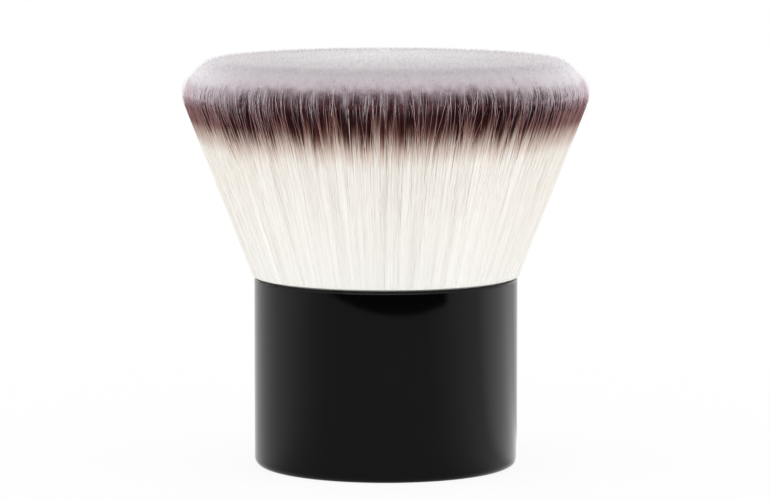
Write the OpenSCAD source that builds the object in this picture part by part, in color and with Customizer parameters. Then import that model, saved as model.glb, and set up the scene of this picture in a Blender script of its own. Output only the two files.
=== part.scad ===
// Short flat-top kabuki makeup brush, in millimetres.
// A weighted metal cup is the handle, and a dense head of synthetic bristles
// flares out of its mouth and ends in a slightly domed top.
// The origin is the centre of the flat underside, and +Z points up.

/* [Handle shell] */
// Outside diameter of the drawn metal cup
handle_d = 36; // [30:0.5:44]
// Height of the cup, from its underside to its rim
handle_h = 25.8; // [22:0.2:60]
// Thickness of the cup's side wall
shell_wall = 0.8; // [0.5:0.1:1.5]
// Thickness of the cup's closed end
shell_floor = 1; // [0.6:0.1:2]
// Outside radius round the edge of the closed end
base_edge_r = 1.1; // [0.4:0.1:2.5]

/* [Bristle head] */
// Widest diameter of the head
head_d = 55.1; // [46:0.1:75]
// Height of the head above the rim, at its middle
head_h = 30.8; // [22:0.1:45]
// Radius of the head's round shoulder, seen from the side
shoulder_r = 4.8; // [2:0.1:8]
// Rise of the domed top above the shoulder
crown_h = 0.7; // [0.3:0.1:3]
// Depth of the bristle roots below the rim
root_depth = 7.3; // [4:0.1:10]
// Clearance between the bristles and the mouth of the cup
mouth_gap = 0.3; // [0.1:0.05:1]
// How far the outer bristles bulge past the outside of the cup, over its rim
bulge = 0.45; // [0:0.05:1]
// Height of that bulge above the rim
bulge_h = 1.2; // [0.6:0.1:3]

/* [Tufts] */
// Tufts round each row at the core of the head
core_tufts = 8; // [6:1:10]
// Tufts round each row of the inner layer
inner_tufts = 22; // [16:1:28]
// Tufts round each row of the middle layer
middle_tufts = 36; // [28:1:46]
// Tufts round each row of the outer layer
outer_tufts = 52; // [40:1:64]
// Share of its own space that a tuft fills at the rim
fill_at_rim = 0.84; // [0.5:0.01:0.95]
// Share of its own space that a tuft fills where its tip begins
fill_at_top = 0.9; // [0.5:0.01:0.95]
// How far a tuft's corners stray from an even grid, in shares of its space
stray = 0.28; // [0:0.02:0.35]
// Length of a tuft's tapering tip
tip_taper = 0.9; // [0.5:0.1:4]
// How much shorter than the longest tufts the shortest ones are
tip_spread = 0.4; // [0:0.05:0.8]

/* [Knot] */
// Thickness of the resin-soaked slice that holds the roots
root_slice_t = 2; // [1:0.1:3]
// Thickness of the resin poured under the roots
resin_t = 1.5; // [0.5:0.1:3]
// Thickness of the thread wound round the roots
thread_t = 0.45; // [0.2:0.05:1]
// Thickness of the metal ring round the knot
ring_wall = 0.5; // [0.3:0.1:1]
// How far the thread and the ring end below the top of the resin
edge_drop = 0.2; // [0.1:0.1:0.8]
// Bond line left between pieces that are glued side by side
bond_gap = 0.05; // [0.02:0.01:0.1]

/* [Core plug] */
// Thickness of the plug's wall round the knot
plug_wall = 1.9; // [1.4:0.1:3]
// Thickness of the plug's web under the knot
plug_web = 1.8; // [1:0.1:3]
// Clearance between the plug and the cup
plug_gap = 0.1; // [0.05:0.05:0.3]
// Number of stiffening ribs under the web
rib_count = 6; // [3:1:10]
// Thickness of a rib
rib_t = 1.2; // [0.8:0.1:2]
// Diameter of the hub where the ribs meet
hub_d = 6; // [4:0.5:12]
// Depth of the glue groove round the plug
groove_depth = 0.5; // [0.2:0.1:0.9]
// Width of the glue groove
groove_w = 2; // [1:0.1:3]

/* [Base weight] */
// Thickness of the steel disc that weights the base
weight_h = 5; // [3:0.5:6]
// Clearance round the disc
weight_gap = 0.2; // [0.1:0.05:0.5]
// How far the foam pad stops short of the disc's edge
pad_inset = 2; // [0.5:0.5:8]
// Thickness of the foam pad, squeezed
pad_t = 0.8; // [0.4:0.1:1.5]

/* [Hidden] */
$fn = 96;

// The cup
handle_r = handle_d / 2;
shell_in_r = handle_r - shell_wall;
inner_edge_r = max(base_edge_r - shell_wall, 0.2);
rim_z = handle_h;

// Heights inside the cup. The plug's body takes up what the other pieces leave
weight_z = shell_floor;
pad_z = weight_z + weight_h;
plug_z = pad_z + pad_t;
root_z = rim_z - root_depth;
slice_z = root_z - root_slice_t;
socket_z = slice_z - resin_t;

// Radii inside the cup, from the wall inwards
weight_r = shell_in_r - weight_gap;
plug_r = shell_in_r - plug_gap;
socket_r = plug_r - plug_wall;
ring_r = socket_r - bond_gap;
ring_in_r = ring_r - ring_wall;
thread_r = ring_in_r - bond_gap;
knot_r = thread_r - thread_t - bond_gap;
groove_r = plug_r - groove_depth;
groove_z = (socket_z + root_z - groove_w) / 2;

// The head's outline: a cone from the mouth, tangent to the shoulder's arc,
// and a dome tangent to the same arc
head_r = head_d / 2;
mouth_r = shell_in_r - mouth_gap;
bulge_r = handle_r + bulge;
apex_z = rim_z + head_h;
shoulder_z = apex_z - crown_h - shoulder_r;
shoulder_c = head_r - shoulder_r;
reach = norm([shoulder_c - mouth_r, shoulder_z - rim_z]);
flare = atan2(shoulder_c - mouth_r, shoulder_z - rim_z) + asin(shoulder_r / reach);
rise = crown_h + shoulder_r;
dome_r = (shoulder_c ^ 2 + rise ^ 2 - shoulder_r ^ 2) / (2 * crown_h);
dome_z = apex_z - dome_r;

// The bristles fan out from one point on the axis
fan_z = rim_z - mouth_r / tan(flare);
dome_turn = atan2(shoulder_c, shoulder_z - dome_z);
dome_lean = atan2(dome_r * sin(dome_turn), dome_z + dome_r * cos(dome_turn) - fan_z);

// Layers of the head, from the core outwards
ROWS = [2, 3, 3, 3];
COUNTS = [core_tufts, inner_tufts, middle_tufts, outer_tufts];
row_total = ROWS[0] + ROWS[1] + ROWS[2] + ROWS[3];
core_hole = 0.03;
golden_angle = 137.508;

function rows_below(layer) = layer == 0 ? 0 : rows_below(layer - 1) + ROWS[layer - 1];
function outer_share(layer) = rows_below(layer + 1) / row_total;
// A slice with flat sides starts far enough out for its flats to clear the slice inside it
function inner_share(layer) = layer == 0 ? core_hole :
    (outer_share(layer - 1) + bond_gap / knot_r) / cos(180 / COUNTS[layer]);

function polar(r, turn, z) = [r * cos(turn), r * sin(turn), z];

// Lean from the vertical of a bristle rooted at this share of the knot's radius
function lean(share) = atan(share * tan(flare));

// Distance from the fan's point to the surface of the head, along a lean
function to_dome(a) = let (k = dome_z - fan_z)
    k * cos(a) + sqrt(dome_r ^ 2 - (k * sin(a)) ^ 2);
function to_shoulder(a) = let (
        c = norm([shoulder_c, shoulder_z - fan_z]),
        b = a - atan2(shoulder_c, shoulder_z - fan_z)
    ) c * cos(b) + sqrt(max(0, shoulder_r ^ 2 - (c * sin(b)) ^ 2));
function to_surface(a) = a < dome_lean ? to_dome(a) : to_shoulder(a);

// A place on a bristle, this far below the surface of the head
function on_bristle(share, turn, below) = let (
        a = lean(share),
        t = to_surface(a) - below
    ) polar(t * sin(a), turn, fan_z + t * cos(a));

// Shortening of one tuft, spread evenly by the golden angle
function shortening(index) = tip_spread * (1 - cos(index * golden_angle)) / 2;

// Rectangle from the axis outwards, with its lower outer corner rounded
module corner_block(w, h, r) {
    square([w - r, h]);
    translate([0, r]) square([w, h - r]);
    translate([w - r, r]) circle(r);
}

// Plain ring standing on z = 0
module ring(r_out, r_in, h) {
    difference() {
        cylinder(r = r_out, h = h);
        translate([0, 0, -1]) cylinder(r = r_in, h = h + 2);
    }
}

// One layer of the head: rows of four-sided tufts, fused at their roots to a
// slice of resin. The slice is split into cells, one for each tuft, whose
// corners stray a little inside the layer, so the tufts look packed by chance.
module bristle_layer(layer) {
    rows = ROWS[layer];
    count = COUNTS[layer];
    first = inner_share(layer);
    pitch = (outer_share(layer) - first) / rows;
    step = 360 / count;

    // A corner of a cell, as [share, turn]. The layer's edges stay round
    function strayed(j, k, phase) = j % rows == 0 ? 0 :
        stray * sin(phase + golden_angle * (j * count + k % count));
    function corner(j, k) = [
        first + pitch * (j + strayed(j, k, 0)),
        step * (k + strayed(j, k, 90))
    ];
    function cell(j, k) = [
        corner(j, k), corner(j, k + 1), corner(j + 1, k + 1), corner(j + 1, k)
    ];
    function middle(c) = (c[0] + c[1] + c[2] + c[3]) / 4;
    function drawn_in(c, fill) = [for (p = c) middle(c) + fill * (p - middle(c))];

    // Each tuft has rings of four points, at the rim, over the rim in the outer
    // layer, and where its tip begins, and then the point of its tip
    bulges = layer == len(ROWS) - 1;
    rings = bulges ? 3 : 2;
    function tuft(j, k) = let (c = cell(j, k), m = middle(c)) concat(
        [for (p = drawn_in(c, fill_at_rim)) polar(p[0] * mouth_r, p[1], rim_z)],
        bulges
            ? [for (p = drawn_in(c, fill_at_rim)) polar(p[0] * bulge_r, p[1], rim_z + bulge_h)]
            : [],
        [for (p = drawn_in(c, fill_at_top)) on_bristle(p[0], p[1], tip_taper)],
        [on_bristle(m[0], m[1], shortening(j * count + k))]
    );

    // Where each kind of point starts in the list, and its index
    under = (rows + 1) * count;
    tufts = under + 2 * count;
    function root_i(j, k) = j * count + k % count;
    function inside_i(k) = under + k % count;
    function outside_i(k) = under + count + k % count;
    function ring_i(j, k, level, i) = tufts + (4 * rings + 1) * (j * count + k) + 4 * level + i;

    // Two triangles between the edges a-b and c-d, seen clockwise as a, c, d, b
    function band(a, b, c, d) = [[a, c, d], [a, d, b]];
    function roots(j, k) = [root_i(j, k), root_i(j, k + 1), root_i(j + 1, k + 1), root_i(j + 1, k)];
    function sides(j, k) = let (r = roots(j, k)) [
        for (i = [0:3]) let (n = (i + 1) % 4) each concat(
            band(r[n], r[i], ring_i(j, k, 0, n), ring_i(j, k, 0, i)),
            [for (v = [1:rings - 1]) each band(
                ring_i(j, k, v - 1, n), ring_i(j, k, v - 1, i), ring_i(j, k, v, n), ring_i(j, k, v, i)
            )],
            [[ring_i(j, k, rings - 1, n), ring_i(j, k, rings, 0), ring_i(j, k, rings - 1, i)]]
        )
    ];
    function slice(k) = concat(
        band(inside_i(k + 1), inside_i(k), root_i(0, k + 1), root_i(0, k)),
        band(outside_i(k), outside_i(k + 1), root_i(rows, k), root_i(rows, k + 1)),
        band(inside_i(k), inside_i(k + 1), outside_i(k), outside_i(k + 1))
    );

    polyhedron(
        points = concat(
            [for (j = [0:rows]) for (k = [0:count - 1]) let (c = corner(j, k))
                polar(c[0] * knot_r, c[1], root_z)],
            [for (j = [0, rows]) for (k = [0:count - 1]) let (c = corner(j, k))
                polar(c[0] * knot_r, c[1], slice_z)],
            [for (j = [0:rows - 1]) for (k = [0:count - 1]) each tuft(j, k)]
        ),
        faces = concat(
            [for (j = [0:rows - 1]) for (k = [0:count - 1]) each sides(j, k)],
            [for (k = [0:count - 1]) each slice(k)]
        ),
        convexity = 10
    );
}

// Deep-drawn metal cup with a rounded lower edge and a rounded rim
module handle_shell() {
    color("#17171a") rotate_extrude() {
        difference() {
            corner_block(handle_r, rim_z - shell_wall / 2, base_edge_r);
            translate([0, shell_floor]) corner_block(shell_in_r, rim_z, inner_edge_r);
        }
        translate([handle_r - shell_wall / 2, rim_z - shell_wall / 2]) circle(shell_wall / 2);
    }
}

// Steel disc that gives the short brush a heavy, steady base. Its lower edge is
// cut back to clear the round inside corner of the cup
module base_weight() {
    chamfer = inner_edge_r + weight_gap;
    color("#8b8f94") translate([0, 0, weight_z]) {
        cylinder(r1 = weight_r - chamfer, r2 = weight_r, h = chamfer);
        translate([0, 0, chamfer]) cylinder(r = weight_r, h = weight_h - chamfer);
    }
}

// Double-sided foam pad that fixes the plug to the disc without a rattle
module foam_pad() {
    color("#4a4a4c") translate([0, 0, pad_z]) cylinder(r = weight_r - pad_inset, h = pad_t);
}

// Outline of the hollow under the plug's web, less its hub and ribs
module pocket_outline(pocket_r) {
    difference() {
        circle(pocket_r);
        circle(d = hub_d);
        for (k = [0:rib_count - 1])
            rotate(k * 360 / rib_count) translate([0, -rib_t / 2]) square([pocket_r + 1, rib_t]);
    }
}

// Moulded plug: a socket for the knot above, and a ribbed hollow below
module core_plug() {
    pocket_h = socket_z - plug_web - plug_z;
    color("#c9c4b8") difference() {
        translate([0, 0, plug_z]) cylinder(r = plug_r, h = root_z - plug_z);
        translate([0, 0, socket_z]) cylinder(r = socket_r, h = root_z);
        translate([0, 0, groove_z]) ring(plug_r + 1, groove_r, groove_w);
        translate([0, 0, plug_z - 1]) linear_extrude(pocket_h + 1) pocket_outline(plug_r - plug_wall);
    }
}

// Adhesive that fills the plug's groove and holds the plug in the cup
module glue_ring() {
    color("#d8c27a") translate([0, 0, groove_z + bond_gap])
        ring(shell_in_r - bond_gap / 2, groove_r + bond_gap, groove_w - 2 * bond_gap);
}

// Thin metal ring that keeps the knot round in its socket
module knot_ring() {
    color("#b9bcc0") translate([0, 0, socket_z])
        ring(ring_r, ring_in_r, root_z - edge_drop - socket_z);
}

// Resin poured under the roots, which glues the knot to the plug
module root_resin() {
    color("#c79a4a") translate([0, 0, socket_z]) cylinder(r = knot_r, h = resin_t);
}

// Band of thread that ties the roots together
module binding_thread() {
    color("#f1ece0") translate([0, 0, slice_z])
        ring(thread_r, knot_r + bond_gap, root_slice_t - edge_drop);
}

// The bristles are one dense knot. Its layers, from the axis outwards, each
// keep their share of the resin-soaked roots.
module bristles_core() {
    color("#d9d0d3") bristle_layer(0);
}

module bristles_inner() {
    color("#d3c8cc") bristle_layer(1);
}

module bristles_middle() {
    color("#d9d0d3") bristle_layer(2);
}

module bristles_outer() {
    color("#ece7de") bristle_layer(3);
}

handle_shell();
base_weight();
foam_pad();
core_plug();
glue_ring();
knot_ring();
root_resin();
binding_thread();
bristles_core();
bristles_inner();
bristles_middle();
bristles_outer();
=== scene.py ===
import math

import bmesh
import bpy
import numpy as np
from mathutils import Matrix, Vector


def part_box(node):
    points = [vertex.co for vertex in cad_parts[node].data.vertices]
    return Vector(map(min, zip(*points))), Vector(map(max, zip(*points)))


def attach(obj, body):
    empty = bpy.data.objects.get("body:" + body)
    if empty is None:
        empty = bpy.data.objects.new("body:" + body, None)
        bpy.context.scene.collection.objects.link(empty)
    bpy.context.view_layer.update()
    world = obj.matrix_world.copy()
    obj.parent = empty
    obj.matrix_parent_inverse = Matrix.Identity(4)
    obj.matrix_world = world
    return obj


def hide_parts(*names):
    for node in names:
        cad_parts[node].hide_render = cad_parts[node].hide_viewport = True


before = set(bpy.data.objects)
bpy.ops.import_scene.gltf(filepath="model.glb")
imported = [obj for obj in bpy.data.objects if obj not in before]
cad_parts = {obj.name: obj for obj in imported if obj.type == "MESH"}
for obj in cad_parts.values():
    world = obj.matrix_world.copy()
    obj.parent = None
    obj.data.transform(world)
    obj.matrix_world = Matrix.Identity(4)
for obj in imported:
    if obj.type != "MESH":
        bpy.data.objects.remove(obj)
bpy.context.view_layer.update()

MM = 0.001


# The camera. The photograph looks at the brush through a long lens from a little
# above the table. The distance, height and lens come from a fit of its outline.
IMAGE_WIDTH = 770
FOCAL_PIXELS = 4304
EYE_DISTANCE = 588 * MM
EYE_ELEVATION = math.radians(6.21)
AIM_HEIGHT = 29.44 * MM
SIDE_SHIFT_PIXELS = 0.9

lens = bpy.data.cameras.new("camera")
lens.sensor_fit = "HORIZONTAL"
lens.sensor_width = 36
lens.lens = FOCAL_PIXELS / IMAGE_WIDTH * lens.sensor_width
lens.shift_x = -SIDE_SHIFT_PIXELS / IMAGE_WIDTH
lens.clip_start = 0.01
camera = bpy.data.objects.new("camera", lens)
camera.location = (
    0,
    -EYE_DISTANCE * math.cos(EYE_ELEVATION),
    AIM_HEIGHT + EYE_DISTANCE * math.sin(EYE_ELEVATION),
)
camera.rotation_euler = (math.pi / 2 - EYE_ELEVATION, 0, 0)
bpy.context.scene.collection.objects.link(camera)
bpy.context.scene.camera = camera


# The handle's cup. It is drawn from sheet metal in one piece and sprayed with
# gloss black lacquer, which lies almost flat: only a faint orange peel and the
# soft marks of handling break its reflections.
class Paint:
    """A socket in a material. Arithmetic on it adds the Math nodes that work it out."""

    def __init__(self, tree, socket=None):
        self.tree = tree
        self.socket = socket

    def node(self, kind, settings, links, output=0):
        """One of a new node's outputs. Its settings come first, then its sockets."""
        made = self.tree.nodes.new("ShaderNode" + kind)
        for key, value in settings.items():
            if key == "stops":
                while len(made.color_ramp.elements) < len(value):
                    made.color_ramp.elements.new(1)
                for element, (position, colour) in zip(made.color_ramp.elements, value):
                    element.position = position
                    element.color = (*colour, 1)
            else:
                setattr(made, key, value)
        for key, value in links.items():
            if isinstance(value, Paint):
                self.tree.links.new(value.socket, made.inputs[key])
            else:
                made.inputs[key].default_value = value
        return Paint(self.tree, made.outputs[output] if made.outputs else None)

    def maths(self, operation, *values):
        return self.node("Math", {"operation": operation}, dict(enumerate(values)))

    def __add__(self, other):
        return self.maths("ADD", self, other)

    def __sub__(self, other):
        return self.maths("SUBTRACT", self, other)

    def __mul__(self, other):
        return self.maths("MULTIPLY", self, other)

    def __rsub__(self, other):
        return self.maths("SUBTRACT", other, self)

    def __pow__(self, other):
        return self.maths("POWER", self, other)

    __radd__ = __add__
    __rmul__ = __mul__

    def mixed(self, first, second):
        """Two colours mixed, with this value as the share of the second."""
        return self.node("Mix", {"data_type": "RGBA"}, {0: self, 6: first, 7: second}, 2)


def shade(red, green, blue):
    """A colour given as a screen shows it, from 0 to 255, in the renderer's linear light."""
    return tuple(
        part / 12.92 if part <= 0.04045 else ((part + 0.055) / 1.055) ** 2.4
        for part in (red / 255, green / 255, blue / 255)
    )


def opaque(red, green, blue):
    return (*shade(red, green, blue), 1)


def finish(name, paint, **constants):
    """A material whose maker, paint, gives the links of its Principled BSDF."""
    material = bpy.data.materials.new(name)
    material.use_nodes = True
    tree = material.node_tree
    tree.nodes.clear()
    start = Paint(tree)
    links = paint(start)
    links.update({key.replace("_", " "): value for key, value in constants.items()})
    surface = start.node("BsdfPrincipled", {}, links)
    start.node("OutputMaterial", {}, {"Surface": surface})
    return material


def on_piece(start):
    """Where a spot is on the piece, in metres. The camera doesn't matter to it."""
    return start.node("TexCoord", {}, {}, "Object")


def grain(start, scale, detail=3, roughness=0.5, where=None):
    """Noise over the piece, with this many waves in a metre."""
    where = where or on_piece(start)
    links = {"Vector": where, "Scale": scale, "Detail": detail, "Roughness": roughness}
    return start.node("TexNoise", {}, links)


def bumped(start, relief, distance):
    return start.node("Bump", {}, {"Height": relief, "Distance": distance, "Strength": 1})


def lacquer(start):
    marks = grain(start, 60, 5, 0.6)
    peel = grain(start, 900, 1)
    return {
        "Base Color": marks.mixed(opaque(2, 2, 3), opaque(8, 8, 9)),
        "Roughness": marks * 0.04 + 0.015,
        "Normal": bumped(start, peel, 0.0004 * MM),
    }


def dress(solid, material):
    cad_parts[solid].material_slots[0].material = material


dress("handle_shell", finish("black_lacquer", lacquer, Specular_IOR_Level=0.2))


# The weight at the bottom of the cup: a disc pressed from steel sheet and plated
# with zinc, whose spangle and rolling marks show. Foam tape holds it to the plug.
def zinc_plate(start):
    drawn_out = {0: on_piece(start), 1: (1, 12, 1)}
    stretched = start.node("VectorMath", {"operation": "MULTIPLY"}, drawn_out)
    rolled = grain(start, 700, 2, 0.5, stretched)
    spangle = grain(start, 250, 4, 0.7)
    return {
        "Base Color": spangle.mixed(opaque(176, 178, 180), opaque(198, 200, 202)),
        "Roughness": rolled * 0.2 + 0.3,
        "Normal": bumped(start, rolled, 0.01 * MM),
    }


dress("base_weight", finish("zinc_plate", zinc_plate, Metallic=1))


# The foam pad: closed-cell foam with adhesive on both faces, cut to a disc. Its
# cells show as small pits, with painted shade darkening each pit towards its bottom.
def closed_cells(start):
    cells_and_pit_shade = start.node("TexVoronoi", {}, {"Vector": on_piece(start), "Scale": 2600, "Randomness": 1})
    return {
        "Base Color": cells_and_pit_shade.mixed(opaque(58, 58, 58), opaque(90, 90, 89)),
        "Normal": bumped(start, cells_and_pit_shade, 0.12 * MM),
    }


dress("foam_pad", finish("closed_cell_foam", closed_cells, Roughness=0.9))


# The plug that fills the cup and holds the knot. It is moulded in one piece of
# natural-coloured plastic, with a fine spark-eroded grain and faint flow lines.
def moulded(start):
    flow = grain(start, 90, 3)
    eroded = grain(start, 3000, 2)
    return {
        "Base Color": flow.mixed(opaque(192, 188, 176), opaque(206, 202, 192)),
        "Roughness": eroded * 0.15 + 0.42,
        "Normal": bumped(start, eroded, 0.012 * MM),
    }


dress("core_plug", finish("moulded_plug", moulded))


# The bead of hot-melt adhesive between plug and cup. It is clouded amber and set
# with a smooth, slightly wavy skin.
def hot_melt(start):
    cloud = grain(start, 400, 3)
    waves = grain(start, 500, 1)
    return {
        "Base Color": cloud.mixed(opaque(206, 184, 112), opaque(220, 201, 140)),
        "Roughness": cloud * 0.1 + 0.18,
        "Normal": bumped(start, waves, 0.05 * MM),
    }


dress("glue_ring", finish("hot_melt", hot_melt))


# The ring that keeps the knot round: a short length of thin aluminium tube with
# the fine lines of drawing along it.
def drawn_aluminium(start):
    drawn_out = {0: on_piece(start), 1: (1, 1, 0.03)}
    stretched = start.node("VectorMath", {"operation": "MULTIPLY"}, drawn_out)
    lines = grain(start, 4000, 2, 0.6, stretched)
    return {
        "Base Color": lines.mixed(opaque(212, 214, 217), opaque(228, 229, 231)),
        "Roughness": lines * 0.18 + 0.24,
        "Normal": bumped(start, lines, 0.008 * MM),
    }


dress("knot_ring", finish("drawn_aluminium", drawn_aluminium, Metallic=1))


# The resin poured under the roots. It is amber epoxy, darker where it lies deep,
# with a few small bubbles.
def epoxy(start):
    cloud = grain(start, 180, 3)
    bubbles = start.node("TexVoronoi", {}, {"Vector": on_piece(start), "Scale": 900, "Randomness": 1})
    return {
        "Base Color": cloud.mixed(opaque(186, 140, 62), opaque(208, 166, 88)),
        "Roughness": cloud * 0.06 + 0.08,
        "Normal": bumped(start, bubbles, 0.03 * MM),
    }


dress("root_resin", finish("amber_epoxy", epoxy))


# The band round the roots: fine cotton thread, wound side by side and tied. The
# turns run round the knot, and each is twisted from two plies.
THREAD_PITCH = 0.32 * MM


def wound_thread(start):
    windings_and_groove_shade = start.node(
        "TexWave",
        {"wave_type": "BANDS", "bands_direction": "Z", "wave_profile": "SIN"},
        {"Vector": on_piece(start), "Scale": math.pi / 10 / THREAD_PITCH, "Distortion": 0},
        1,
    )
    fuzz = grain(start, 5000, 3, 0.7)
    return {
        # The colour is darker in the grooves between turns, along the same bands as the relief:
        # painted shade
        "Base Color": (windings_and_groove_shade * 0.6 + fuzz * 0.4).mixed(
            opaque(206, 200, 186), opaque(243, 239, 229)
        ),
        "Normal": bumped(start, windings_and_groove_shade + fuzz * 0.3, 0.1 * MM),
    }


dress("binding_thread", finish("cotton_thread", wound_thread, Roughness=0.85))


# The bristles. They are several tens of thousands of nylon-like filaments, thick at
# the root and drawn to a fine tip, dyed in bands: cream, dark brown, pale lilac.
# The roots are tied and set in resin, and the hair fans out over the cup's lip.
BRISTLE_NODES = ["bristles_core", "bristles_inner", "bristles_middle", "bristles_outer"]
FLARE = math.radians(21.45)
SHOULDER_RADIUS = 4.82 * MM
CROWN_RISE = 0.7 * MM

cup_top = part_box("handle_shell")[1]
cup_radius = cup_top.x
rim = cup_top.z
apex = max(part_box(solid)[1].z for solid in BRISTLE_NODES)

# The outline: a cone over the rim, a round shoulder tangent to it, and a dome
fan_point = rim - cup_radius / math.tan(FLARE)
shoulder_height = apex - CROWN_RISE - SHOULDER_RADIUS
shoulder_centre = (
    (shoulder_height - fan_point) * math.sin(FLARE) - SHOULDER_RADIUS
) / math.cos(FLARE)
rise = CROWN_RISE + SHOULDER_RADIUS
dome_radius = (shoulder_centre ** 2 + rise ** 2 - SHOULDER_RADIUS ** 2) / (2 * CROWN_RISE)
dome_centre = apex - dome_radius
dome_turn = math.atan2(shoulder_centre, shoulder_height - dome_centre)
dome_edge = math.atan2(
    dome_radius * math.sin(dome_turn),
    dome_centre + dome_radius * math.cos(dome_turn) - fan_point,
)


def lean_of(share):
    """The lean of hairs rooted at this share of the knot's radius."""
    return np.arctan(share * math.tan(FLARE))


def to_surface(lean):
    """Distance from the fan's point to the outline, along hairs that lean this much."""
    above_point = dome_centre - fan_point
    offset = above_point * np.sin(lean)
    dome = above_point * np.cos(lean) + np.sqrt(dome_radius ** 2 - offset ** 2)
    arm = math.hypot(shoulder_centre, shoulder_height - fan_point)
    off = lean - math.atan2(shoulder_centre, shoulder_height - fan_point)
    inside = np.maximum(0, SHOULDER_RADIUS ** 2 - (arm * np.sin(off)) ** 2)
    shoulder = arm * np.cos(off) + np.sqrt(inside)
    return np.where(lean < dome_edge, dome, shoulder)


# The dyes run up the hair from the root. Each is a ramp over heights on the brush:
# most hairs lie between plum and russet, and some have hardly taken the dye. The plum
# and russet ramps whiten over the crown's top: partly the tips' own pale colour, partly
# a painted highlight there.
MAP_LOW = rim - 3 * MM
MAP_HIGH = apex + 1 * MM


def heights(stops):
    """Ramp stops given as heights in millimetres and screen colours."""
    return [
        ((millimetres * MM - MAP_LOW) / (MAP_HIGH - MAP_LOW), shade(*colour))
        for millimetres, colour in stops
    ]


PLUM_DYE = heights([
    (24, (252, 251, 248)), (43.2, (251, 248, 244)), (45.2, (230, 216, 206)), (46.9, (128, 94, 84)),
    (47.9, (52, 20, 21)), (49.5, (38, 8, 10)), (51.4, (42, 13, 16)), (52.1, (76, 52, 56)),
    (52.8, (160, 146, 152)), (53.4, (182, 172, 178)), (54.2, (194, 186, 191)),
    (55.2, (200, 194, 198)), (55.85, (204, 199, 202)), (56.15, (217, 214, 216)),
    (56.4, (236, 235, 236)), (56.62, (250, 250, 250)),
])
RUSSET_DYE = heights([
    (24, (251, 250, 247)), (42.8, (250, 247, 242)), (44.8, (226, 208, 196)), (46.6, (160, 116, 100)),
    (48, (98, 50, 45)), (49.6, (90, 45, 44)), (50.9, (112, 78, 82)), (52, (164, 147, 154)),
    (53.3, (187, 178, 184)), (54.2, (197, 189, 194)), (55.2, (202, 196, 200)),
    (55.85, (206, 201, 204)), (56.15, (219, 216, 218)), (56.4, (237, 236, 237)),
    (56.62, (250, 250, 250)),
])
UNDYED = heights([
    (24, (252, 251, 248)), (44, (250, 247, 242)), (46.4, (218, 198, 190)), (47.6, (166, 126, 122)),
    (49.6, (166, 128, 131)), (50.6, (206, 184, 191)), (51.4, (230, 215, 222)), (53, (238, 232, 236)),
    (56.62, (240, 237, 239)),
])

# All dyes sit a little higher than their ramps say. At the two sides of the head, as the camera
# sees it, the dye's upper edge is painted lower and more of the hair is painted undyed: painted
# light, standing in for the light that shines through the hair seen edge-on there. The lowering
# starts and is full below the edge, and fades and ends on the shoulder.
DYE_RAISED = 0.4 * MM
SIDE_PAINTED_LIGHT_DROP = 2.8 * MM
SLIP_STARTS, SLIP_FULL, SLIP_FADES, SLIP_ENDS = 46 * MM, 51 * MM, 53.5 * MM, 55.5 * MM
SIDE_PAINTED_PALE_SHARE = 0.75


def painted_side_paling(side):
    """The share of SIDE_PAINTED_LIGHT_DROP here. side is 0 at the front and 1 at the two sides."""
    return 0.15 * side + 0.85 * side ** 3


def dyes(start, v):
    """The colours of the three dyes at this height on the map."""
    ramps = (PLUM_DYE, RUSSET_DYE, UNDYED)
    return [start.node("ValToRGB", {"stops": stops}, {0: v}) for stops in ramps]


def streaked(start, dye, chance, darkest, lightest):
    """A dye made lighter or darker by chance, between two shares of itself."""
    grey = chance * (lightest - darkest) + darkest
    streak = start.node("CombineColor", {}, {0: grey, 1: grey, 2: grey})
    links = {0: 1, 6: dye, 7: streak}
    return start.node("Mix", {"data_type": "RGBA", "blend_type": "MULTIPLY"}, links, 2)


# The bed. It is the crowd of hairs just under those on the outside, as one closed
# skin from the lip to the crown, with a fine ridge for each lock of hair.
BED_SHARE = 0.977
BED_DEPTH = 0.9 * MM
CROWN_DEPTH = 0.35 * MM
BED_EDGE = 0.75
BED_LIP = [(16.8 * MM, -0.5 * MM), (17.4 * MM, 0.12 * MM), (17.85 * MM, 0.5 * MM)]
BED_STEPS = 720
BED_RIDGE = 0.03 * MM
FAN_STRETCH = 25
CLUMP_SWAY = 0.06


def sloped(value, first, last):
    """0 up to first and 1 from last on, with a straight slope between."""
    return value.node("MapRange", {}, {"Value": value, "From Min": first, "From Max": last})


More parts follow.
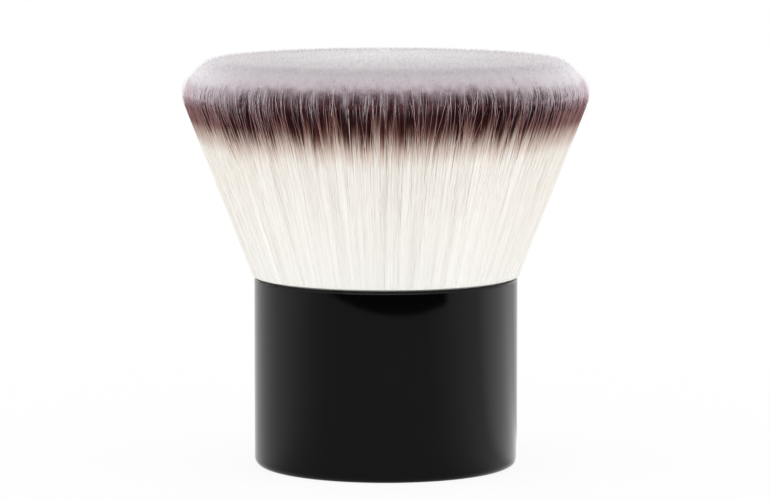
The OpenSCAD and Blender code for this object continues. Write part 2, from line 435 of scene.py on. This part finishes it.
def crowd(start):
    """The dyes on the bed, streaked along the hair, and on the crown speckled darker with painted
    shade between the tips.
    """
    spot = on_piece(start)
    z = start.node("SeparateXYZ", {}, {0: spot}, 2)
    over_point = z - fan_point
    fan = start.node("CombineXYZ", {}, {0: over_point, 1: over_point, 2: FAN_STRETCH})
    strand = start.node("VectorMath", {"operation": "DIVIDE"}, {0: spot, 1: fan})
    streaks = grain(start, 330, 2, 0.6, strand)
    clumps = grain(start, 60, 1, 0.5, strand)

    flat = start.node("VectorMath", {"operation": "MULTIPLY"}, {0: spot, 1: (1, 1, 0)})
    outward = start.node("VectorMath", {"operation": "NORMALIZE"}, {0: flat})
    sideways = start.node("SeparateXYZ", {}, {0: outward}, 0)
    side = sideways * sideways
    under = sloped(z, SLIP_ENDS, SLIP_FADES)
    # At the two sides the dye's edge is painted lower: painted light that makes the head's edges
    # paler
    lower = sloped(z, SLIP_STARTS, SLIP_FULL) * under * SIDE_PAINTED_LIGHT_DROP * painted_side_paling(side)
    in_dye = z + lower - MAP_LOW - DYE_RAISED * under
    v = in_dye * (1 / (MAP_HIGH - MAP_LOW)) + (clumps - 0.5) * CLUMP_SWAY * under

    plum, russet, undyed = dyes(start, v)
    # There more of the bed is painted undyed too, as part of the same painted light
    below_crown = sloped(z, 55.9 * MM, 55.2 * MM)
    dyed = (side ** 3 * SIDE_PAINTED_PALE_SHARE * below_crown).mixed(streaks.mixed(plum, russet), undyed)
    # On the crown the streaks reach darker: painted shade between the hair tips
    crown_gap_shade = sloped(z, 54 * MM, 55.5 * MM)
    at_root = sloped(z, 44 * MM, 36 * MM)
    darkest = 0.9 - crown_gap_shade * 0.2 + at_root * 0.08
    lightest = 1.06 - at_root * 0.04
    return {"Base Color": streaked(start, dyed, streaks, darkest, lightest)}


bm = bmesh.new()
outline = [Vector((radius, 0, rim + above)) for radius, above in BED_LIP]
for millimetres in range(28, 49, 2):
    up = millimetres * MM
    outline.append(Vector(((up - fan_point) * BED_SHARE * math.tan(FLARE), 0, up)))
for arc in range(90, -1, -6):
    share = BED_SHARE * math.sin(math.radians(arc))
    lean = float(lean_of(share))
    at_edge = min(1, max(0, (share - BED_EDGE) / (BED_SHARE - BED_EDGE)))
    far = float(to_surface(lean)) - CROWN_DEPTH - (BED_DEPTH - CROWN_DEPTH) * at_edge
    outline.append(Vector((far * math.sin(lean), 0, fan_point + far * math.cos(lean))))
bed_points = [bm.verts.new(point) for point in outline]
bed_edges = [bm.edges.new(pair) for pair in zip(bed_points, bed_points[1:])]
bmesh.ops.spin(
    bm, geom=bed_points + bed_edges, axis=(0, 0, 1), cent=(0, 0, 0), dvec=(0, 0, 0),
    angle=2 * math.pi, steps=BED_STEPS, use_merge=True,
)
bmesh.ops.remove_doubles(bm, verts=bm.verts[:], dist=0.001 * MM)
bmesh.ops.recalc_face_normals(bm, faces=bm.faces[:])

# Its map runs round the brush and up the outline
climbed = [0]
for before, after in zip(outline, outline[1:]):
    climbed.append(climbed[-1] + (after - before).length)
on_map = {
    round(point.z / MM, 2): climb / climbed[-1]
    for point, climb in zip(outline, climbed)
}
layer = bm.loops.layers.uv.new("OFBake")
for face in bm.faces:
    face.smooth = True
    centre = face.calc_center_median()
    middle = math.atan2(centre.y, centre.x) / (2 * math.pi)
    for loop in face.loops:
        point = loop.vert.co
        turn = math.atan2(point.y, point.x) / (2 * math.pi)
        if point.xy.length < 0.01 * MM:
            turn = middle
        loop[layer].uv = (turn + round(middle - turn), on_map[round(point.z / MM, 2)])
ridges = np.random.default_rng(2).uniform(-1, 1, BED_STEPS)
for vertex in bm.verts:
    turn = math.atan2(vertex.co.y, vertex.co.x) / (2 * math.pi)
    ridge = 1 + BED_RIDGE / cup_radius * ridges[round(turn * BED_STEPS) % BED_STEPS]
    vertex.co.x *= ridge
    vertex.co.y *= ridge
mesh = bpy.data.meshes.new("bristle_bed")
bm.to_mesh(mesh)
bm.free()
bed = bpy.data.objects.new("bristle_bed", mesh)
bpy.context.scene.collection.objects.link(bed)
mesh.materials.append(
    finish("bristle_crowd", crowd, Roughness=0.15, Specular_IOR_Level=0.002)
)
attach(bed, "root")


# The outer hairs. Each is a whole filament that bends over the cup's lip, lies along
# the flare and ends on the shoulder, where it tapers and gathers with others in a
# tuft. Some lie loose over the rest, and most of these have hardly taken the dye.
COLUMNS = 64
DYED_COLUMNS = 56


def filament(levels):
    """One hair in its own measure: a three-sided tube of radius 1 with its levels 1 apart."""
    bm = bmesh.new()
    bmesh.ops.create_circle(bm, cap_ends=True, segments=3, radius=1)
    edges = bm.edges[:]
    for _ in range(levels - 1):
        grown = bmesh.ops.extrude_edge_only(bm, edges=edges)["geom"]
        ring = [item for item in grown if isinstance(item, bmesh.types.BMVert)]
        edges = [item for item in grown if isinstance(item, bmesh.types.BMEdge)]
        edges = [edge for edge in edges if edge.verts[0] in ring and edge.verts[1] in ring]
        bmesh.ops.translate(bm, verts=ring, vec=(0, 0, 1))
    bmesh.ops.pointmerge(bm, verts=ring, merge_co=(0, 0, levels - 1))
    bmesh.ops.recalc_face_normals(bm, faces=bm.faces[:])
    bmesh.ops.triangulate(bm, faces=bm.faces[:])
    tube = np.array([vertex.co for vertex in bm.verts])
    faces = np.array([[vertex.index for vertex in face.verts] for face in bm.faces])
    bm.free()
    return tube, faces


def hair(start):
    """The dyes on a hair. Its map is a narrow column for each shade, the darkest first
    and the undyed last, and runs up with the height on the brush."""
    map_spot = start.node("UVMap", {"uv_map": "OFBake"}, {})
    u = start.node("SeparateXYZ", {}, {0: map_spot}, 0)
    v = start.node("SeparateXYZ", {}, {0: map_spot}, 1)
    column = start.maths("FLOOR", u * COLUMNS)
    chance = start.node("TexWhiteNoise", {"noise_dimensions": "1D"}, {"W": column + 0.5}, 0)
    plum, russet, undyed = dyes(start, v)
    dyed = ((column * (1 / DYED_COLUMNS)) ** 1.5).mixed(plum, russet)
    is_undyed = start.maths("GREATER_THAN", column, DYED_COLUMNS - 0.5)
    return {"Base Color": streaked(start, is_undyed.mixed(dyed, undyed), chance, 0.97, 1.01)}


bristle_dye = finish("bristle_dye", hair, Roughness=0.5, Specular_IOR_Level=0.12)


def plant(name, solid, rng, radii, levels_up, turns, leans, thick, column, shift):
    """A piece of hairs. The arrays give each hair's levels from root to tip: the
    distance from the axis, height, turn round the brush, lean and thickness."""
    count, levels = turns.shape
    tube, faces = filament(levels)
    level = np.rint(tube[:, 2]).astype(int)

    # Each ring lies across its hair
    angle = np.arctan2(tube[:, 1], tube[:, 0])
    across = angle[None, :] + rng.uniform(0, 2 * math.pi, count)[:, None]
    girth = np.array(thick)[level] * rng.uniform(0.85, 1.15, count)[:, None]
    tilt, aim = leans[:, level], turns[:, level]
    from_axis = radii[:, level] + girth * np.cos(across) * np.cos(tilt)
    beside = girth * np.sin(across)
    ring_points = np.stack([
        from_axis * np.cos(aim) - beside * np.sin(aim),
        from_axis * np.sin(aim) + beside * np.cos(aim),
        levels_up[:, level] - girth * np.cos(across) * np.sin(tilt),
    ], -1)
    all_faces = (faces[None] + len(tube) * np.arange(count)[:, None, None]).reshape(-1, 3)
    mesh = bpy.data.meshes.new(name)
    mesh.from_pydata(ring_points.reshape(-1, 3).tolist(), [], all_faces.tolist())

    # The tube's three sides share the column, and its tip is in the column's middle
    facet = np.rint((angle + math.pi) / (2 * math.pi) * 3) % 3
    u = (column[:, None] + np.where(level == levels - 1, 0.5, 0.3 + 0.2 * facet)) / COLUMNS
    v = ((levels_up + shift)[:, level] - MAP_LOW) / (MAP_HIGH - MAP_LOW)
    uv = np.stack([u, np.clip(v, 0.005, 0.995)], -1).reshape(-1, 2)
    layer = mesh.uv_layers.new(name="OFBake")
    layer.data.foreach_set("uv", uv[all_faces.ravel()].ravel().astype(np.float32))

    piece = bpy.data.objects.new(name, mesh)
    bpy.context.scene.collection.objects.link(piece)
    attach(piece, "root")
    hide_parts(solid)
    mesh.materials.append(bristle_dye)


# The roots are spread by a sequence that never bunches, from the plastic number,
# and the tips gather in tufts, each with a little more or less of the dye.
EVEN_STEP = 0.7548776662
TUFTS = 180

tuft_rng = np.random.default_rng(4)
tuft_turns = (np.arange(TUFTS) + tuft_rng.uniform(0, 1, TUFTS)) * 2 * math.pi / TUFTS
tuft_slips, tuft_lights, tuft_shorts = tuft_rng.uniform(-1, 1, (3, TUFTS))


def tuft_of(turn):
    """The tuft that each hair gathers in, and the way round the brush to its middle."""
    apart = (tuft_turns[None] - turn[:, None] + math.pi) % (2 * math.pi) - math.pi
    nearest = np.abs(apart).argmin(1)
    return nearest, apart[np.arange(len(turn)), nearest]


# How light a hair's dye is, from 0 to 1, and how far too low it sits: a tuft's part
# and a hair's own part. A few hairs have it far too high, and more have it too low.
# The dye slips less at its lower edge than at its upper edge, and less at the sides.
MEAN_LIGHT, TUFT_LIGHT, HAIR_LIGHT = 0.36, 0.34, 0.16
TUFT_SLIP, HAIR_SLIP = 1.25 * MM, 0.2 * MM
HIGH_SHARE, HIGH_BY = 0.05, 1 * MM
LOW_SHARE, LOW_BY, LOW_MOST = 0.2, 1.1 * MM, 2.6 * MM
LOWER_EDGE_SLIPS, UPPER_EDGE_SLIPS_MORE = 0.5, 1.25
SIDES_SLIP_LESS = 0.8


def dye_of(rng, turn, levels_up, undyed=0.0, sunk=0.0):
    """Each hair's column on the map, and how far its bands of dye sit too low. This
    share of the hairs is undyed, and the others' dye is sunk by this much."""
    count = len(turn)
    tuft = tuft_of(turn)[0]
    light = MEAN_LIGHT + TUFT_LIGHT * tuft_lights[tuft] + HAIR_LIGHT * rng.normal(0, 1, count)
    column = np.floor(np.clip(light, 0, 0.999) * DYED_COLUMNS)
    side = np.cos(turn) ** 2
    slip = HAIR_SLIP * rng.normal(0, 1, count) + TUFT_SLIP * tuft_slips[tuft]
    slip -= np.where(rng.random(count) < HIGH_SHARE, rng.exponential(HIGH_BY, count), 0)
    slip *= 1 - SIDES_SLIP_LESS * side ** 3
    is_low = rng.random(count) < LOW_SHARE
    low_by = np.minimum(rng.exponential(LOW_BY, count), LOW_MOST)
    slip += sunk - DYE_RAISED + np.where(is_low, low_by, 0)
    # At the two sides more hairs are painted undyed and the dye's edge is painted lower: painted
    # light that makes the head's edges paler
    bare = rng.random(count) < undyed + SIDE_PAINTED_PALE_SHARE * side ** 3
    column = np.where(bare, rng.integers(DYED_COLUMNS, COLUMNS, count), column)
    lower = SIDE_PAINTED_LIGHT_DROP * painted_side_paling(side)[:, None]
    upper = np.interp(levels_up, [SLIP_STARTS, SLIP_FULL, SLIP_FADES, SLIP_ENDS], [0, 1, 1, 0])
    slips = LOWER_EDGE_SLIPS + UPPER_EDGE_SLIPS_MORE * upper
    shift = slip[:, None] * slips + lower * upper
    return column, np.where(bare[:, None], 0, shift)


# Over the lip a hair's levels have a radius and a height over the rim. Above it they
# follow the outline, a run from the crown down to the rim, at these distances before
# the tip. Below FULL_DEPTH a hair's depth under the outline shrinks to LIP_DEPTH.
LIP_RADII = np.array([16.95, 17.55, 18.15]) * MM
LIP_HEIGHTS = rim + np.array([-0.5, 0.12, 0.26]) * MM
LIP_DEPTH = 0.3
FULL_DEPTH = 46 * MM
BEFORE_TIP = np.array([8, 5.6, 3.6, 1.8, 0]) * MM
TIP_WANDER = 0.12 * MM
WANDER = np.array([0, 0, 0, 0.1, 0.4, 1])
TAPER = (1, 1, 1, 1, 1, 0.9, 0.75, 0.5, 0)
GATHERED = 0.6

shares = np.linspace(0, 1, 400)
reach = to_surface(lean_of(shares))
edge_radius = np.append(reach * np.sin(lean_of(shares)), cup_radius)
edge_height = np.append(fan_point + reach * np.cos(lean_of(shares)), rim)
edge_run = np.append(0, np.cumsum(np.hypot(np.diff(edge_radius), np.diff(edge_height))))
edge_out = -np.gradient(edge_height, edge_run)
edge_up = np.gradient(edge_radius, edge_run)


def outer_hairs(name, seed, count, depths, tips, thickness, stray, bend, undyed=0.0, sunk=0.0):
    """Whole hairs that lie between two depths under the outline and end between two
    shares of the knot's radius. Towards the tip they stray by this many degrees."""
    rng = np.random.default_rng(seed)
    turn = 2 * math.pi * (((np.arange(count) + rng.uniform(-0.3, 0.3, count)) * EVEN_STEP) % 1)
    depth = rng.uniform(*depths, count)[:, None]
    tip = np.interp(rng.uniform(*tips, count), shares, edge_run[:-1])
    run = tip[:, None] + BEFORE_TIP
    run = np.concatenate([((edge_run[-1] + run[:, 0]) / 2)[:, None], run], 1)
    up = np.interp(run, edge_run, edge_height)
    deep = depth * np.clip((up - rim) / (FULL_DEPTH - rim), LIP_DEPTH, 1)
    deep += rng.normal(0, TIP_WANDER, count)[:, None] * WANDER
    radii = np.interp(run, edge_run, edge_radius) - deep * np.interp(run, edge_run, edge_out)
    levels_up = up - deep * np.interp(run, edge_run, edge_up)
    lip = np.ones((count, len(LIP_RADII)))
    radii = np.concatenate([lip * LIP_RADII - LIP_DEPTH * depth, radii], 1)
    levels_up = np.concatenate([lip * LIP_HEIGHTS, levels_up], 1)

    inward = tuft_of(turn)[1]
    along = np.clip((levels_up - rim) / (apex - rim), 0, 1)
    strayed = np.radians(stray) * rng.normal(0, 1, count) * (1 + 0.5 * rng.pareto(3, count))
    turns = turn[:, None] + (GATHERED * inward + strayed)[:, None] * along ** bend
    leans = np.arctan2(np.gradient(radii, axis=1), np.gradient(levels_up, axis=1))
    thick = [thickness * taper for taper in TAPER]
    column, shift = dye_of(rng, turn, levels_up, undyed, sunk)
    plant(name, "bristles_outer", rng, radii, levels_up, turns, leans, thick, column, shift)


for number in (1, 2, 3):
    outer_hairs(
        f"outer_bristles_{number}", 14 + number, 4200,
        depths=(0.28 * MM, 0.7 * MM), tips=(0.93, 1), thickness=0.048 * MM, stray=0.5, bend=3,
    )
outer_hairs(
    "loose_bristles", 5, 700,
    depths=(-0.12 * MM, 0.28 * MM), tips=(0.92, 0.985), thickness=0.036 * MM, stray=4.5, bend=1.6,
    undyed=0.6, sunk=1.4 * MM,
)


# The hair tips. Further in only the ends of the hairs show, over the bed. They stand
# straight from the fan, each a little shorter or longer, and those on the shoulder
# gather in the tufts. The knot's layers meet at three shares of its radius.
CORE_EDGE, INNER_EDGE, MIDDLE_EDGE, TIPS_EDGE = 0.1818, 0.4545, 0.727, 0.985
TIP_LENGTHS = np.array([4, 1, 0]) * MM
TIP_THICKNESS = [0.05 * MM, 0.038 * MM, 0]
TIP_TURNS = np.array([0.7, 0.85, 1])
TIP_STRAY = 0.5
SHOULDER_SHARE, SHOULDER_WIDTH = 0.82, 0.08
ROOT_SCATTER = 0.006
TIP_SHORT, SHOULDER_SHORT, TUFT_SHORT = 0.2 * MM, 0.4 * MM, 0.3 * MM


def hair_tips(name, solid, seed, count, inner, outer):
    """Tips of hairs rooted between two shares of the knot's radius."""
    rng = np.random.default_rng(seed)
    index = np.arange(count) + rng.uniform(-0.3, 0.3, count)
    share = np.sqrt(inner ** 2 + (outer ** 2 - inner ** 2) * (index * EVEN_STEP ** 2 % 1))
    share = np.minimum(share + rng.normal(0, ROOT_SCATTER, count), 1)
    turn = 2 * math.pi * (index * EVEN_STEP % 1)
    tuft, inward = tuft_of(turn)
    on_shoulder = np.clip((share - SHOULDER_SHARE) / SHOULDER_WIDTH, 0, 1)
    short = TIP_SHORT * (1 + on_shoulder) * rng.exponential(1, count)
    short += on_shoulder * (SHOULDER_SHORT + TUFT_SHORT * tuft_shorts[tuft])
    far = (to_surface(lean_of(share)) - short)[:, None] - TIP_LENGTHS
    leans = np.repeat(lean_of(share)[:, None], 3, 1)
    strayed = np.radians(TIP_STRAY) * rng.normal(0, 1, count) + GATHERED * inward * on_shoulder
    turns = turn[:, None] + strayed[:, None] * TIP_TURNS
    radii = far * np.sin(leans)
    levels_up = fan_point + far * np.cos(leans)
    column, shift = dye_of(rng, turn, levels_up)
    plant(name, solid, rng, radii, levels_up, turns, leans, TIP_THICKNESS, column, shift)


hair_tips("outer_tips", "bristles_outer", 14, 19000, MIDDLE_EDGE, TIPS_EDGE)
hair_tips("middle_tips", "bristles_middle", 12, 13000, INNER_EDGE, MIDDLE_EDGE)
hair_tips("inner_tips", "bristles_inner", 3, 7000, CORE_EDGE, INNER_EDGE)
hair_tips("core_tips", "bristles_core", 1, 1300, 0, CORE_EDGE)


# The table. It is white and runs far back, and the camera and the lacquer see it as
# white, with a faint shadow round the brush. In the lacquer alone, black card lies on
# it in front, it is dimmer to the left of that, and it is brighter far to the right.
TABLE_RADIUS = 4
SHADOW_REACH = 0.15
SHADOW_SHARE = 0.12
CARD_EDGE = 0.194
CARD_SOFTNESS = 0.008
CARD_BOW = 0.06

# Where they lie, in degrees as towards() has them, and its values where each sets in
CARD_MIDDLE = 12
CARD_END, CARD_END_STEP = -35, (-0.06, 0.12)
DIM_MIDDLE, DIM_STEP, DIM = -8, (0.1, 0.85), 0.5
BRIGHT_MIDDLE, BRIGHT_STEP, BRIGHT = 112, (0.86, 0.99), 0.55

bm = bmesh.new()
bmesh.ops.create_circle(bm, cap_ends=True, segments=64, radius=TABLE_RADIUS)
mesh = bpy.data.meshes.new("table")
bm.to_mesh(mesh)
bm.free()
table = bpy.data.objects.new("table", mesh)
bpy.context.scene.collection.objects.link(table)
material = bpy.data.materials.new("white_table")
material.use_nodes = True
material.node_tree.nodes.clear()
start = Paint(material.node_tree)
spot = on_piece(start)
away = start.node("VectorMath", {"operation": "LENGTH"}, {0: spot}, 1)


def eased(value, first, last, full=1):
    """0 up to first and this full from last on, with a soft step between."""
    links = {"Value": value, "From Min": first, "From Max": last, "To Max": full}
    return value.node("MapRange", {"interpolation_type": "SMOOTHSTEP"}, links)


def towards(degrees):
    """1 where a spot on the table lies this way from the brush, and -1 opposite. The
    way to the camera is 0 degrees, and they grow to its right."""
    way = (math.sin(math.radians(degrees)), -math.cos(math.radians(degrees)), 0)
    ahead = spot.node("VectorMath", {"operation": "DOT_PRODUCT"}, {0: spot, 1: way}, 1)
    return ahead.maths("DIVIDE", ahead, away)


bowed = away + (towards(CARD_MIDDLE) - 1) * CARD_BOW
card_front = eased(bowed, CARD_EDGE, CARD_EDGE + CARD_SOFTNESS)
card = card_front * eased(towards(CARD_END), *CARD_END_STEP)
dark = start.maths("MAXIMUM", card, eased(towards(DIM_MIDDLE), *DIM_STEP, DIM))
bright = eased(towards(BRIGHT_MIDDLE), *BRIGHT_STEP, BRIGHT)
mirrored = start.node("LightPath", {}, {}, "Is Glossy Ray")
seen = start.node("LightPath", {}, {}, "Is Camera Ray")
matt = start.node("BsdfDiffuse", {}, {"Color": (0.9, 0.9, 0.9, 1)})
strength = 1 + mirrored * (bright - dark)
glow = start.node("Emission", {}, {"Color": (1, 1, 1, 1), "Strength": strength})
near = start.maths("MINIMUM", away * (SHADOW_SHARE / SHADOW_REACH), SHADOW_SHARE)
shown = start.maths("MAXIMUM", mirrored, seen * (near + (1 - SHADOW_SHARE)))
surface = start.node("MixShader", {}, {0: shown, 1: matt, 2: glow})
start.node("OutputMaterial", {}, {"Surface": surface})
table.data.materials.append(material)


# The light. It is the even one of a white studio, with a soft box in front, one
# behind and one at each side. Those at the sides are kept out of the lacquer.
SKY_STRENGTH = 0.86
BOX_AIM = Vector((0, 0, 0.035))

world = bpy.data.worlds.new("studio")
bpy.context.scene.world = world
world.use_nodes = True
world.node_tree.nodes.clear()
start = Paint(world.node_tree)
seen = start.node("LightPath", {}, {}, "Is Camera Ray")
mirrored = start.node("LightPath", {}, {}, "Is Glossy Ray")
sky = start.node("Background", {}, {"Color": (1, 1, 1, 1), "Strength": SKY_STRENGTH})
white = start.node("Background", {}, {"Color": (1, 1, 1, 1), "Strength": 1})
shown = start.maths("MAXIMUM", seen, mirrored)
surface = start.node("MixShader", {}, {0: shown, 1: sky, 2: white})
start.node("OutputWorld", {}, {"Surface": surface})


def soft_box(name, place, size, power):
    lamp = bpy.data.lights.new(name, "AREA")
    lamp.shape = "RECTANGLE"
    lamp.size, lamp.size_y = size
    lamp.energy = power
    box = bpy.data.objects.new(name, lamp)
    box.location = place
    box.rotation_euler = (BOX_AIM - box.location).to_track_quat("-Z", "Y").to_euler()
    bpy.context.scene.collection.objects.link(box)
    return box


soft_box("front_box", (0, -0.8, 0.3), (1.2, 0.35), 1.4)
soft_box("back_box", (0, 0.9, 0.4), (1, 0.5), 1.2)
left_box = soft_box("left_box", (-0.8, -0.1, 0.3), (0.35, 0.5), 1.2)
right_box = soft_box("right_box", (0.8, -0.1, 0.3), (0.35, 0.5), 1.2)
left_box.visible_glossy = False
right_box.visible_glossy = False

# Light goes on between the pale hairs for many bounces
bpy.context.scene.cycles.diffuse_bounces = 10
bpy.context.scene.view_settings.view_transform = "Standard"
